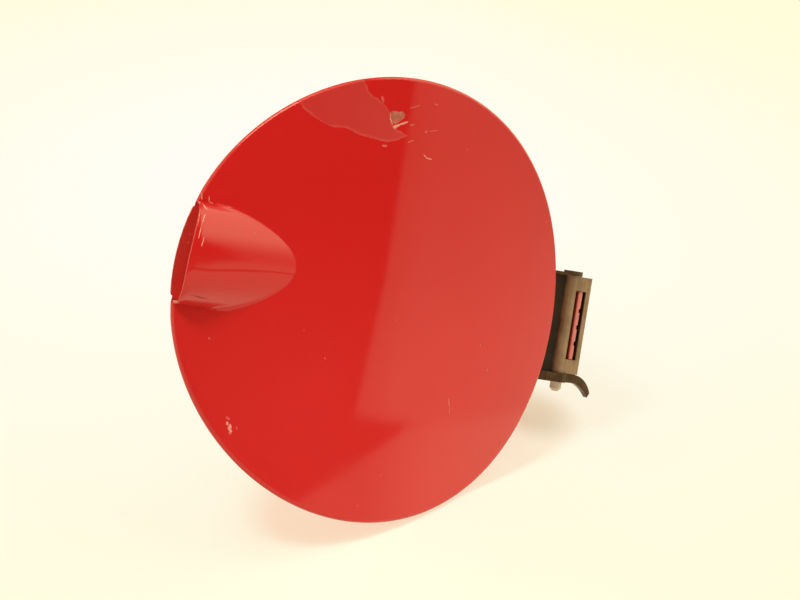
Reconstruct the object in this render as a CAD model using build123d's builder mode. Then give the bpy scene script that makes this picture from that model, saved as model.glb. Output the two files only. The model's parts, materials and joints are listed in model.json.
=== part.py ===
import os
from math import cos, hypot, radians, sin

from build123d import *

os.makedirs("parts", exist_ok=True)

# Round hinged fuel door in millimetres. The origin is the middle of the bracket's mounting face,
# Z runs up along the hinge pin, the door faces -Y and its hinge is on its right.

# Door outline, crown and sheet
door_r = 80.0
crown_r = 242.0  # bend from side to side, about an upright axis
skin_t = 0.8
panel_t = 0.7
hem_gap = 0.05  # between the sheets inside the hem
hem_w = 8.0
hem_lap = 0.4  # how far the fold runs into the sheet that it continues
rim_bevel = 0.3
trim_margin = 10.0  # sheets are made this much oversize, then cut round
core_depth = 60.0  # depth of the solid that stands for all behind a sheet
on_face = 0.01  # an edge this close to a face lies on it

# Hinge pin, from the mounting face and from the door's middle
pin_x = 7.5
pin_y = -24.0
pin_reach = 92.6
pin_depth = 22.0
pin_r = 1.25
pin_sunk = 0.3  # below the boss's top
run_gap = 0.05  # pin in the block
press_gap = 0.01  # pin in the ears and the cap

# Finger grip, a straight tunnel of oval section that stands out of the crown at the free edge
grip_half_h = 17.7
grip_half_d = 9.1
grip_crest = 2.25  # depth of its lip behind the crown's foremost point
grip_lean = 1.5  # its ridge runs back towards the door's middle
grip_z = 7.0
grip_end = 25.0  # where the tunnel's blank stops, from the door's middle
grip_blend = 3.0
tab_gap = 0.6  # inner panel's tab, beside the grip's walls

# Inner panel's pan
platform_depth = 14.0
pan_r = 57.0
pan_taper = 18.0
pan_flat = 47.0  # flat side towards the grip, from the door's middle
pan_corner = 9.0
pan_bevel = 2.4
bead_h = 1.8
bead_w = 9.0
bead_l = 32.0
bead_x = -9.0
bead_z = 21.0

# Gooseneck arm
arm_t = 1.8
arm_h = 27.6
arm_bend = 4.5
arm_back = 16.5  # its inner face behind the pin
arm_left = -18.0  # its inner corner beside the pin
arm_leave = 66.0  # where it leaves the platform's plane, from the door's middle
pad_x = 10.0
pad_l = 42.0
pad_h = 36.0
pad_round = 6.0
swage_l = 30.0  # stiffening swage along the pad
swage_w = 9.0
swage_h = 1.3
notch_r = 0.9
notch_cut = 0.7  # into the tongue's outer side
notch_pitch = 6.7
notch_mid = -0.6
notch_count = 3

# Hinge block, turned a little towards the door's free side
block_turn = 12.0
block_h = 39.3
block_w = 8.1
block_back = 4.5
block_cut = 2.6
barrel_r = 2.4
face_step = 0.4  # block's face behind the barrel's front
window_h = 27.9
window_w = 6.1
window_depth = 5.0
tongue_x = 3.1
tongue_sunk = 0.6  # tongue's edge behind the block's face
slot_gap = 0.08
block_round = 0.6

# Bracket
upper_ear_t = 1.1
lower_ear_t = 3.6
ear_gap = 0.15
ear_r = 3.8
boss_t = 0.8  # rise of the upper ear's round end
post_left = -9.5  # post's sides, from the pin
post_front = 0.2
post_back = 2.7
post_gap = 0.55  # beside the barrel
post_lean = 1.8  # its right side runs back and left, clear of the open block
flange_w = 14.0
flange_t = 3.0
flange_h = 62.0
flange_round = 4.0
screw_r = 2.6
screw_pitch = 52.0
rib_t = 1.4
rib_x = 4.4  # ribs' inner sides, clear of the screw heads
rib_run = 7.0
rib_rise = 6.0
hook_w = 2.6
hook_reach = 8.75
hook_drop = 7.05
hook_tip_w = 0.95
hook_tip_h = 1.8
hook_back = (6.15, -3.05)  # middle of its upper edge, from its root's top
hook_belly = (4.25, -5.55)  # middle of its lower edge

# Pin cap
cap_r = 2.3
cap_l = 3.9
cap_wall = 1.1
cap_bevel = 1.1

# Pieces clipped into the platform
clip_gap = 0.1
buffer_x = -30.0
buffer_z = 37.0
buffer_stem_r = 3.0
buffer_head_r = 6.5
buffer_head_h = 5.5
buffer_lip_r = 4.2
buffer_lip_h = 1.6
buffer_taper = 13.0
catch_x = -33.0
catch_w = 13.0
catch_h = 24.0
catch_base_t = 2.2
catch_reach = 17.0
catch_tongue_t = 3.2
catch_tongue_h = 15.0
catch_eye_l = 7.0
catch_eye_h = 8.0
catch_round = 3.2
eye_round = 1.7
foot_w = 4.4
foot_h = 3.0
barb_w = 5.8
barb_h = 1.2
foot_pitch = 17.0
holder_x = -6.0
holder_z = -37.0
holder_w = 24.0
holder_h = 17.0
holder_base_t = 2.2
holder_reach = 13.0
holder_arm_t = 2.6
holder_arm_h = 9.0
holder_fork = 9.0  # clear width between the two arms
holder_lip = 5.0
holder_round = 3.4

# Worked out from the sizes above
door_x = pin_x - pin_reach
door_y = pin_y - pin_depth
reach = door_r + trim_margin
hem_depth = 2 * skin_t + panel_t + 2 * hem_gap
panel_front = skin_t + hem_gap
panel_back = panel_front + panel_t
platform_back = platform_depth + panel_t
ear_low = block_h / 2 + ear_gap
ear_top = ear_low + upper_ear_t
boss_top = ear_top + boss_t
ear_end = ear_low + lower_ear_t
post_near = -barrel_r - post_gap
block_face = face_step - barrel_r
catch_feet = [(catch_x, grip_z + foot_pitch / 2), (catch_x, grip_z - foot_pitch / 2)]
holder_feet = [(holder_x + foot_pitch / 2, holder_z), (holder_x - foot_pitch / 2, holder_z)]

hinge_plane = Plane(
    origin=(pin_x, pin_y, 0),
    x_dir=(cos(radians(block_turn)), -sin(radians(block_turn)), 0),
    z_dir=(0, 0, 1),
)
hinge_axis = Axis((pin_x, pin_y, 0), hinge_plane.x_dir)
grip_plane = Plane(
    origin=(door_x - door_r, door_y + grip_crest + grip_half_d, grip_z),
    x_dir=(-sin(radians(grip_lean)), cos(radians(grip_lean)), 0),
    z_dir=(cos(radians(grip_lean)), sin(radians(grip_lean)), 0),
)


# Plane parallel to the door, this far behind its foremost point; local y is up
def door_level(depth):
    return Plane(origin=(door_x, door_y + depth, 0), x_dir=(1, 0, 0), z_dir=(0, -1, 0))


# Solid between two depths behind the crowned face
def crown_layer(near, far):
    with BuildPart() as layer:
        with BuildSketch(Plane.XY.offset(-reach)):
            with Locations((door_x, door_y + crown_r)):
                Circle(crown_r - near)
                Circle(crown_r - far, mode=Mode.SUBTRACT)
            with Locations((door_x, door_y + far)):
                Rectangle(2 * reach, 2 * (far + reach), mode=Mode.INTERSECT)
        extrude(amount=2 * reach)
    return layer.part


# Depth of a point behind the crowned face
def crown_depth(point):
    return crown_r - hypot(point.X - door_x, point.Y - door_y - crown_r)


# Distance of an edge's middle from the axis through the door's middle
def edge_radius(edge):
    return hypot((edge @ 0.5).X - door_x, (edge @ 0.5).Z)


# Distance of a point from the side of the tunnel, measured towards the tunnel's axis
def grip_gap(point):
    local = grip_plane.to_local_coords(point)
    return grip_half_d * (1 - hypot(local.X / grip_half_d, local.Y / grip_half_h))


# Bar along the door's facing direction that cuts sheets round
def round_bar(radius):
    with BuildPart() as bar:
        with BuildSketch(door_level(-trim_margin)):
            Circle(radius)
        extrude(amount=-(core_depth + trim_margin))
    return bar.part


# Tunnel blank of the finger grip, smaller by the inset all round
def grip_bar(inset):
    with BuildPart() as bar:
        with BuildSketch(grip_plane.offset(-trim_margin)):
            Ellipse(grip_half_d - inset, grip_half_h - inset)
        extrude(amount=reach - grip_end)
    return bar.part


# Pan of the inner panel, smaller by the inset on every side
def pan_form(inset):
    lean = Plane(
        origin=(door_x - pan_flat + inset, door_y + platform_back, 0),
        x_dir=(0, 0, 1),
        z_dir=(cos(radians(pan_taper)), sin(radians(pan_taper)), 0),
    )
    with BuildPart() as pan:
        with BuildSketch(door_level(platform_back - inset)):
            Circle(pan_r - inset)
        extrude(amount=platform_back + trim_margin, taper=-pan_taper)
        split(bisect_by=lean, keep=Keep.TOP)
        corners = pan.edges().filter_by(lambda e: abs(e.tangent_at(0.5).Y) > 0.5)
        fillet(corners.filter_by(lambda e: abs(e.center().Z) > pan_corner), pan_corner - inset)
        chamfer(pan.faces().sort_by(Axis.Y)[-1].edges(), pan_bevel - inset / 2)
    return pan.part


inner_bar = grip_bar(skin_t)

# Outer skin: crowned sheet, raised finger grip and the hem folded back round the edge
with BuildPart() as grip_form:
    add(grip_bar(0))
    add(crown_layer(skin_t, core_depth), mode=Mode.SUBTRACT)

with BuildPart() as hem_groove:
    add(crown_layer(0, hem_depth - skin_t))
    add(round_bar(door_r - skin_t), mode=Mode.INTERSECT)

with BuildPart() as hem:
    add(crown_layer(hem_lap, hem_depth))
    add(round_bar(door_r), mode=Mode.INTERSECT)
    add(round_bar(door_r - hem_w), mode=Mode.SUBTRACT)
    add(hem_groove.part, mode=Mode.SUBTRACT)
    add(inner_bar, mode=Mode.SUBTRACT)

with BuildPart() as outer_skin:
    add(crown_layer(0, skin_t))
    add(grip_form.part)
    add(inner_bar, mode=Mode.SUBTRACT)
    foot = outer_skin.edges().filter_by(
        lambda e: abs(crown_depth(e @ 0.5)) < on_face and abs(grip_gap(e @ 0.5)) < on_face
    )
    fillet(foot, grip_blend)
    add(round_bar(door_r), mode=Mode.INTERSECT)
    add(hem.part)
    crown = outer_skin.faces().filter_by(lambda f: abs(crown_depth(f.center())) < on_face)
    rim = crown.edges().filter_by(lambda e: abs(edge_radius(e) - door_r) < on_face)
    chamfer(rim, rim_bevel)

outer_skin.part.label = "outer_skin"
export_step(outer_skin.part, "parts/outer_skin.step")

# Inner panel: flange inside the hem, a pan behind it and a tab that floors the finger grip
with BuildPart() as grip_tab:
    add(crown_layer(panel_front, panel_back))
    add(round_bar(door_r), mode=Mode.INTERSECT)
    add(grip_bar(skin_t + tab_gap), mode=Mode.INTERSECT)

with BuildPart() as pan_shell:
    add(pan_form(0))
    add(crown_layer(panel_front, core_depth), mode=Mode.INTERSECT)

with BuildPart() as inner_panel:
    add(crown_layer(panel_front, panel_back))
    add(round_bar(door_r - skin_t - hem_gap), mode=Mode.INTERSECT)
    add(grip_tab.part)
    add(pan_shell.part)
    add(pan_form(panel_t), mode=Mode.SUBTRACT)
    bead_places = [(bead_x, bead_z), (bead_x, -bead_z)]
    with BuildSketch(door_level(platform_back)):
        with Locations(*bead_places):
            SlotOverall(bead_l, bead_w)
    extrude(amount=-bead_h)
    with BuildSketch(door_level(platform_depth)):
        with Locations(*bead_places):
            SlotOverall(bead_l - 2 * panel_t, bead_w - 2 * panel_t)
    extrude(amount=-bead_h, mode=Mode.SUBTRACT)
    with BuildSketch(door_level(platform_depth - trim_margin / 2)):
        with Locations((buffer_x, buffer_z), (buffer_x, -buffer_z)):
            Circle(buffer_stem_r + clip_gap)
        with Locations(*catch_feet, *holder_feet):
            Rectangle(foot_w + 2 * clip_gap, foot_h + 2 * clip_gap)
    extrude(amount=-trim_margin, mode=Mode.SUBTRACT)

inner_panel.part.label = "inner_panel"
export_step(inner_panel.part, "parts/inner_panel.step")

# Gooseneck arm: pad on the platform, a bent strip round behind the pin and a notched tongue
pad_face = door_y + platform_back
tongue_front = block_face + tongue_sunk
tongue_tip = hinge_plane.from_local_coords((tongue_x, tongue_front, 0))
turn_back = (arm_back + tongue_x * sin(radians(block_turn))) / cos(radians(block_turn))
tongue_root = hinge_plane.from_local_coords((tongue_x, turn_back, 0))
tongue_face = Plane(
    origin=tongue_tip, x_dir=hinge_plane.y_dir, z_dir=hinge_plane.x_dir
)

with BuildPart() as hinge_arm:
    with BuildSketch(Plane.XY.offset(-arm_h / 2)):
        with BuildLine():
            FilletPolyline(
                (door_x + pad_x, pad_face),
                (door_x + arm_leave, pad_face),
                (pin_x + arm_left, pin_y + arm_back),
                (tongue_root.X, tongue_root.Y),
                (tongue_tip.X, tongue_tip.Y),
                radius=arm_bend,
            )
            offset(amount=arm_t, side=Side.LEFT)
        make_face()
    extrude(amount=arm_h)
    with BuildSketch(door_level(platform_back)):
        with Locations((pad_x + pad_l / 2, 0)):
            RectangleRounded(pad_l, pad_h, pad_round)
    extrude(amount=-arm_t)
    with BuildSketch(door_level(platform_back)):
        with Locations((pad_x + pad_l / 2, 0)):
            SlotOverall(swage_l, swage_w)
    extrude(amount=-arm_t - swage_h)
    with BuildSketch(door_level(platform_back)):
        with Locations((pad_x + pad_l / 2, 0)):
            SlotOverall(swage_l - 2 * arm_t, swage_w - 2 * arm_t)
    extrude(amount=-swage_h, mode=Mode.SUBTRACT)
    with BuildSketch(tongue_face.offset(arm_t - notch_cut)):
        for k in range(notch_count):
            with Locations((0, notch_mid + (k - (notch_count - 1) / 2) * notch_pitch)):
                Circle(notch_r)
    extrude(amount=notch_cut, mode=Mode.SUBTRACT)

hinge_arm.part.label = "hinge_arm"
export_step(hinge_arm.part, "parts/hinge_arm.step")

# Hinge block: slim barrel on the pin, and a window that shows the tongue
with BuildPart() as hinge_block:
    with BuildSketch(hinge_plane.offset(-block_h / 2)):
        Circle(barrel_r)
        Polygon(
            (0, block_face),
            (block_w, block_face),
            (block_w, block_back),
            (block_cut, block_back),
            (0, barrel_r),
            align=None,
        )
    extrude(amount=block_h)
    fillet(hinge_block.edges().filter_by(Axis.Z).sort_by(hinge_axis)[-2:], block_round)
    with BuildSketch(hinge_plane.offset(-window_h / 2)):
        with Locations((window_w / 2, window_depth / 2 - barrel_r)):
            Rectangle(window_w, window_depth)
        Circle(barrel_r, mode=Mode.SUBTRACT)
    extrude(amount=window_h, mode=Mode.SUBTRACT)
    with BuildSketch(hinge_plane.offset(-arm_h / 2 - slot_gap)):
        with Locations((tongue_x + arm_t / 2, block_back)):
            Rectangle(arm_t + 2 * slot_gap, 2 * block_back)
    extrude(amount=arm_h + 2 * slot_gap, mode=Mode.SUBTRACT)
    with BuildSketch(hinge_plane.offset(-block_h / 2)):
        Circle(pin_r + run_gap)
    extrude(amount=block_h, mode=Mode.SUBTRACT)

hinge_block.part.label = "hinge_block"
export_step(hinge_block.part, "parts/hinge_block.step")

# Bracket: two ears, a round boss on the upper one, the post beside the pin, the screw flange and the hook
post_outline = [
    (pin_x + post_left, pin_y + post_front),
    (pin_x + post_near, pin_y + post_front),
    (pin_x + post_near - post_lean, pin_y + post_back),
    (pin_x + post_left, pin_y + post_back),
]

with BuildPart() as hinge_bracket:
    for level, thickness in ((ear_low, upper_ear_t), (-ear_end, lower_ear_t)):
        with BuildSketch(Plane.XY.offset(level)):
            with Locations((pin_x, pin_y)):
                Circle(ear_r)
            Polygon(*post_outline, align=None)
            with Locations((0, -flange_t / 2)):
                Rectangle(flange_w, flange_t)
            make_hull()
        extrude(amount=thickness)
    with BuildSketch(Plane.XY.offset(ear_top)):
        with Locations((pin_x, pin_y)):
            Circle(ear_r)
    extrude(amount=boss_t)
    with BuildSketch(Plane.XY.offset(-ear_low)):
        Polygon(*post_outline, align=None)
    extrude(amount=2 * ear_low)
    with BuildSketch(Plane.XZ):
        RectangleRounded(flange_w, flange_h, flange_round)
        with GridLocations(0, screw_pitch, 1, 2):
            Circle(screw_r, mode=Mode.SUBTRACT)
    extrude(amount=flange_t)
    for rib_side in (rib_x, -rib_x - rib_t):
        with BuildSketch(Plane.YZ.offset(rib_side)):
            for level, rise in ((ear_top, rib_rise), (-ear_end, -rib_rise)):
                Polygon(
                    (-flange_t, level),
                    (-flange_t - rib_run, level),
                    (-flange_t, level + rise),
                    align=None,
                )
        extrude(amount=rib_t)
    with BuildSketch(Plane.XY.offset(-ear_end)):
        with Locations((pin_x + block_w / 2, pin_y)):
            Rectangle(block_w, hook_w)
    extrude(amount=lower_ear_t)
    hook_x = pin_x + block_w
    with BuildSketch(Plane.XZ.offset(-pin_y - hook_w / 2)):
        with BuildLine():
            ThreePointArc(
                (hook_x, -ear_low - ear_gap),
                (hook_x + hook_back[0], -ear_low + hook_back[1]),
                (hook_x + hook_reach, -ear_low - hook_drop),
            )
            Line(
                (hook_x + hook_reach, -ear_low - hook_drop),
                (hook_x + hook_reach - hook_tip_w, -ear_low - hook_drop - hook_tip_h),
            )
            ThreePointArc(
                (hook_x + hook_reach - hook_tip_w, -ear_low - hook_drop - hook_tip_h),
                (hook_x + hook_belly[0], -ear_low + hook_belly[1]),
                (hook_x, -ear_end),
            )
            Line((hook_x, -ear_end), (hook_x, -ear_low - ear_gap))
        make_face()
    extrude(amount=hook_w)
    with BuildSketch(Plane.XY.offset(-ear_end)):
        with Locations((pin_x, pin_y)):
            Circle(pin_r + press_gap)
    extrude(amount=ear_end + boss_top, mode=Mode.SUBTRACT)

hinge_bracket.part.label = "hinge_bracket"
export_step(hinge_bracket.part, "parts/hinge_bracket.step")

# Hinge pin, from the cap up to just below the boss's top
pin_low = -ear_end - cap_l + cap_wall
with BuildPart() as hinge_pin:
    with BuildSketch(Plane.XY.offset(pin_low)):
        with Locations((pin_x, pin_y)):
            Circle(pin_r)
    extrude(amount=boss_top - pin_sunk - pin_low)

hinge_pin.part.label = "hinge_pin"
export_step(hinge_pin.part, "parts/hinge_pin.step")

# Cap on the pin's lower end
with BuildPart() as pin_cap:
    with BuildSketch(Plane.XY.offset(-ear_end - cap_l)):
        with Locations((pin_x, pin_y)):
            Circle(cap_r)
    extrude(amount=cap_l)
    chamfer(pin_cap.faces().sort_by(Axis.Z)[0].edges(), cap_bevel)
    with BuildSketch(Plane.XY.offset(pin_low)):
        with Locations((pin_x, pin_y)):
            Circle(pin_r + press_gap)
    extrude(amount=cap_l, mode=Mode.SUBTRACT)

pin_cap.part.label = "pin_cap"
export_step(pin_cap.part, "parts/pin_cap.step")

# Rubber buffers that stop the door against the filler bowl
for name, side in (("upper_buffer", 1), ("lower_buffer", -1)):
    with BuildPart() as buffer:
        with BuildSketch(door_level(platform_back)):
            with Locations((buffer_x, side * buffer_z)):
                Circle(buffer_head_r)
        extrude(amount=-buffer_head_h, taper=buffer_taper)
        with BuildSketch(door_level(platform_back)):
            with Locations((buffer_x, side * buffer_z)):
                Circle(buffer_stem_r)
        extrude(amount=panel_t)
        with BuildSketch(door_level(platform_depth)):
            with Locations((buffer_x, side * buffer_z)):
                Circle(buffer_lip_r)
        extrude(amount=buffer_lip_h)
    buffer.part.label = name
    export_step(buffer.part, f"parts/{name}.step")

# Lock catch: base, two barbed feet through the panel and a tongue with an eye
with BuildPart() as lock_catch:
    with BuildSketch(door_level(platform_back)):
        with Locations((catch_x, grip_z)):
            RectangleRounded(catch_w, catch_h, catch_round)
    extrude(amount=-catch_base_t)
    with BuildSketch(Plane.XY.offset(grip_z - catch_tongue_h / 2)):
        with Locations((door_x + catch_x, door_y + platform_back + catch_reach / 2)):
            Rectangle(catch_tongue_t, catch_reach)
    extrude(amount=catch_tongue_h)
    tongue_side = Plane.YZ.offset(door_x + catch_x - catch_tongue_t / 2)
    with BuildSketch(tongue_side):
        with Locations((door_y + platform_back + catch_reach - catch_eye_l, grip_z)):
            RectangleRounded(catch_eye_l, catch_eye_h, eye_round)
    extrude(amount=catch_tongue_t, mode=Mode.SUBTRACT)
    with BuildSketch(door_level(platform_back)):
        with Locations(*catch_feet):
            Rectangle(foot_w, foot_h)
    extrude(amount=panel_t)
    with BuildSketch(door_level(platform_depth)):
        with Locations(*catch_feet):
            Rectangle(barb_w, foot_h)
    extrude(amount=barb_h)

lock_catch.part.label = "lock_catch"
export_step(lock_catch.part, "parts/lock_catch.step")

# Holder that the filler cap hangs on: a base with two barbed feet and two upturned arms
with BuildPart() as cap_holder:
    with BuildSketch(door_level(platform_back)):
        with Locations((holder_x, holder_z)):
            RectangleRounded(holder_w, holder_h, holder_round)
    extrude(amount=-holder_base_t)
    for side in (1, -1):
        arm_x = door_x + holder_x + side * (holder_fork + holder_arm_t) / 2
        arm_low = holder_z - holder_arm_h / 2
        back = door_y + platform_back
        with BuildSketch(Plane.YZ.offset(arm_x - holder_arm_t / 2)):
            Polygon(
                (back, arm_low),
                (back + holder_reach, arm_low + holder_lip),
                (back + holder_reach, arm_low + holder_arm_h + holder_lip),
                (back + holder_reach - holder_arm_t, arm_low + holder_arm_h + holder_lip),
                (back + holder_reach - 2 * holder_arm_t, arm_low + holder_arm_h),
                (back, arm_low + holder_arm_h),
                align=None,
            )
        extrude(amount=holder_arm_t)
    with BuildSketch(door_level(platform_back)):
        with Locations(*holder_feet):
            Rectangle(foot_w, foot_h)
    extrude(amount=panel_t)
    with BuildSketch(door_level(platform_depth)):
        with Locations(*holder_feet):
            Rectangle(barb_w, foot_h)
    extrude(amount=barb_h)

cap_holder.part.label = "cap_holder"
export_step(cap_holder.part, "parts/cap_holder.step")
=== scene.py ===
import json
import math

import bmesh
import bpy
import numpy as np
from mathutils import Matrix, Quaternion, Vector

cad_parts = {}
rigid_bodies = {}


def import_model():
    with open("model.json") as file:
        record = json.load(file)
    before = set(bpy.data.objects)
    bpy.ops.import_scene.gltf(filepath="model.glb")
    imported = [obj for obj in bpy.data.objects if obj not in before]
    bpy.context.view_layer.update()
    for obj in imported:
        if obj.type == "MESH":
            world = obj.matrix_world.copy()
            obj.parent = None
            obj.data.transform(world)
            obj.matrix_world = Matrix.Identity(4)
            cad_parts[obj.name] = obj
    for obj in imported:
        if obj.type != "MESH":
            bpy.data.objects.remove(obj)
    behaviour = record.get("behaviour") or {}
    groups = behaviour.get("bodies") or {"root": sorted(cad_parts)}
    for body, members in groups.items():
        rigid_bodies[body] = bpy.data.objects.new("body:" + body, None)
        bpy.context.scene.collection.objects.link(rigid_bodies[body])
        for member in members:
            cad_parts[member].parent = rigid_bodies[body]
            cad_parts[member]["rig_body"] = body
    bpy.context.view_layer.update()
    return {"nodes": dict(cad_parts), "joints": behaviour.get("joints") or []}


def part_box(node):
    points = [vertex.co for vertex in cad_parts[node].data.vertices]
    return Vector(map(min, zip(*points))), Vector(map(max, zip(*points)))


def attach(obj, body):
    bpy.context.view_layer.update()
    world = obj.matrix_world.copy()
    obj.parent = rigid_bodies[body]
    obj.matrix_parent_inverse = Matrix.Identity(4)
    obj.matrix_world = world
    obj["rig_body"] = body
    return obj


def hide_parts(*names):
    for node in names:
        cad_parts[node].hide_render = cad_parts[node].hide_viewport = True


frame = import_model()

scene = bpy.context.scene
scene.view_settings.view_transform = "Standard"
mm = 0.001

# where the door's middle and the pin are, read from the frame
skinLow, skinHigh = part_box("outer_skin")
doorMiddle = Vector(((skinLow.x + skinHigh.x) / 2, skinLow.y, (skinLow.z + skinHigh.z) / 2))
doorRadius = (skinHigh.z - skinLow.z) / 2
swing = frame["joints"][0]
pinPoint = Vector(swing["pos_m"])
print("frame loaded, door radius", round(doorRadius / mm, 2), "mm")


# node helpers
def addNode(tree, kind, inputs=None, **settings):
    made = tree.nodes.new(kind)
    for key, value in settings.items():
        setattr(made, key, value)
    for key, value in (inputs or {}).items():
        if isinstance(value, bpy.types.NodeSocket):
            tree.links.new(value, made.inputs[key])
        else:
            made.inputs[key].default_value = value
    return made


def mathNode(tree, operation, *values):
    return addNode(tree, "ShaderNodeMath", dict(enumerate(values)), operation=operation).outputs[0]


def product(tree, first, *others):
    for other in others:
        first = mathNode(tree, "MULTIPLY", first, other)
    return first


def vectorNode(tree, operation, first, second):
    place = "Scale" if operation == "SCALE" else 1
    made = addNode(tree, "ShaderNodeVectorMath", {0: first, place: second}, operation=operation)
    return made.outputs["Value" if operation in ("DOT_PRODUCT", "DISTANCE") else "Vector"]


def measured(tree, place, origin, ways):
    # how far a place is from the origin, along each of the ways
    run = vectorNode(tree, "SUBTRACT", place, origin)
    return [vectorNode(tree, "DOT_PRODUCT", run, way) for way in ways]


def ramp(tree, value, low, high, start=0.0, end=1.0):
    inputs = {"Value": value, "From Min": low, "From Max": high, "To Min": start, "To Max": end}
    return addNode(tree, "ShaderNodeMapRange", inputs, interpolation_type="SMOOTHSTEP").outputs["Result"]


def mixColor(tree, factor, first, second):
    return addNode(tree, "ShaderNodeMix", {0: factor, 6: first, 7: second}, data_type="RGBA").outputs[2]


def mixShader(tree, factor, first, second):
    return addNode(tree, "ShaderNodeMixShader", {0: factor, 1: first, 2: second}).outputs[0]


def noise(tree, vector, scale, detail=2.0, roughness=0.5):
    inputs = {"Vector": vector, "Scale": scale, "Detail": detail, "Roughness": roughness}
    return addNode(tree, "ShaderNodeTexNoise", inputs).outputs["Fac"]


def newMaterial(name):
    made = bpy.data.materials.new(name)
    made.use_nodes = True
    tree = made.node_tree
    shader = tree.nodes["Principled BSDF"]
    place = tree.nodes.new("ShaderNodeTexCoord").outputs["Object"]
    return made, tree, shader, place


def addBump(tree, shader, height):
    bump = addNode(tree, "ShaderNodeBump", {"Height": height, "Strength": 1.0, "Distance": 1.0})
    tree.links.new(bump.outputs["Normal"], shader.inputs["Normal"])


def addGrain(tree, shader, place, scale, height, detail=2.0):
    addBump(tree, shader, mathNode(tree, "MULTIPLY", noise(tree, place, scale, detail), height))


# object helpers
def addObject(name, data):
    piece = bpy.data.objects.new(name, data)
    scene.collection.objects.link(piece)
    return piece


def keepResult(piece):
    # what the modifiers make becomes a plain mesh, and they go
    view = bpy.context.evaluated_depsgraph_get()
    finished = bpy.data.meshes.new_from_object(piece.evaluated_get(view))
    piece.modifiers.clear()
    piece.data = finished


# shared effects, one group each
def newGroup(name, inputs, outputs):
    group = bpy.data.node_groups.new(name, "ShaderNodeTree")
    for label, kind, value in inputs:
        socket = group.interface.new_socket(label, in_out="INPUT", socket_type=kind)
        if value is not None:
            socket.default_value = value
    for label, kind in outputs:
        group.interface.new_socket(label, in_out="OUTPUT", socket_type=kind)
    return group, group.nodes.new("NodeGroupInput").outputs, group.nodes.new("NodeGroupOutput").inputs


def makeSpeckGroup():
    inputs = [("Vector", "NodeSocketVector", None), ("Scale", "NodeSocketFloat", 500.0),
              ("Amount", "NodeSocketFloat", 0.1)]
    group, given, out = newGroup("dustSpecks", inputs, [("Mask", "NodeSocketFloat")])
    cells = addNode(group, "ShaderNodeTexVoronoi", {"Vector": given["Vector"], "Scale": given["Scale"]})
    near = ramp(group, cells.outputs["Distance"], 0.16, 0.08)  # share of a cell
    pick = addNode(group, "ShaderNodeSeparateColor", {"Color": cells.outputs["Color"]}).outputs["Red"]
    chosen = mathNode(group, "LESS_THAN", pick, given["Amount"])
    group.links.new(mathNode(group, "MULTIPLY", near, chosen), out["Mask"])
    return group


speckGroup = makeSpeckGroup()


def specks(tree, place, scale, amount):
    inputs = {"Vector": place, "Scale": scale, "Amount": amount}
    return addNode(tree, "ShaderNodeGroup", inputs, node_tree=speckGroup).outputs["Mask"]


# paint of the outer skin, with the marks that years have left; outlines in mm from the door's middle
skinPaint = {
    "red": (0.700, 0.0200, 0.0185, 1),
    "deepRed": (0.650, 0.0168, 0.0150, 1),
    "cloudScale": 9.0,
    "gloss": 0.045,
    "haze": 0.02,
    "hazeScale": 60.0,
    "orangePeel": (330.0, 0.0022 * mm),  # scale and height of the sprayed paint's ripple
    "bareRed": (0.600, 0.024, 0.023, 1),  # base coat where the clear coat has come off
    "bareGloss": 0.42,
    "coat": 0.05 * mm,  # the clear coat's thickness
    "ragged": (420.0, 1.5 * mm),  # scale and width of the wander in the outlines
    "peelSoft": 0.10 * mm,
    # a lighter band painted just inside the peel's edge, a painted highlight on the clear coat's broken step
    "edge": (0.78, 0.13, 0.11, 1),
    "highlightBand": (0.35 * mm, 0.6 * mm, 0.1 * mm),  # painted highlight along the peel's edge: how far in it lies, and where it starts and is full
    "highlightPatches": 140.0,
    "highlightAmount": 0.22,
    "primer": (0.54, 0.165, 0.108, 1),
    "primerShade": (0.44, 0.095, 0.062, 1),
    "primerScale": 500.0,
    "chipSoft": 0.08 * mm,
    "chipRagged": 0.7,
    "dust": (0.8, 0.6, 0.5, 1),
    "dustSpecks": (260.0, 0.05),
    "dustAmount": 0.05,
    "peelOutline": [
        (-49.0, 64.0), (-45.1, 61.1), (-42.5, 59.7), (-36.9, 57.6), (-35.0, 57.4), (-30.3, 57.8), (-24.9, 56.4),
        (-18.9, 55.9), (-13.7, 55.7), (-11.4, 56.3), (-8.4, 58.3), (-5.9, 59.2), (-11.3, 60.7), (-13.3, 62.5),
        (-14.5, 65.9), (-18.4, 69.1), (-22.6, 70.6), (-24.0, 71.9), (-25.9, 75.0), (-26.2, 80.0), (-49.0, 80.0),
    ],
    "chipOutline": [
        (-14.5, 66.0), (-13.8, 66.9), (-11.6, 66.7), (-9.7, 67.4), (-8.5, 66.3), (-9.0, 65.0), (-9.8, 63.9),
        (-11.3, 62.8), (-12.6, 62.2), (-13.7, 63.1),
    ],
}


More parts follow.
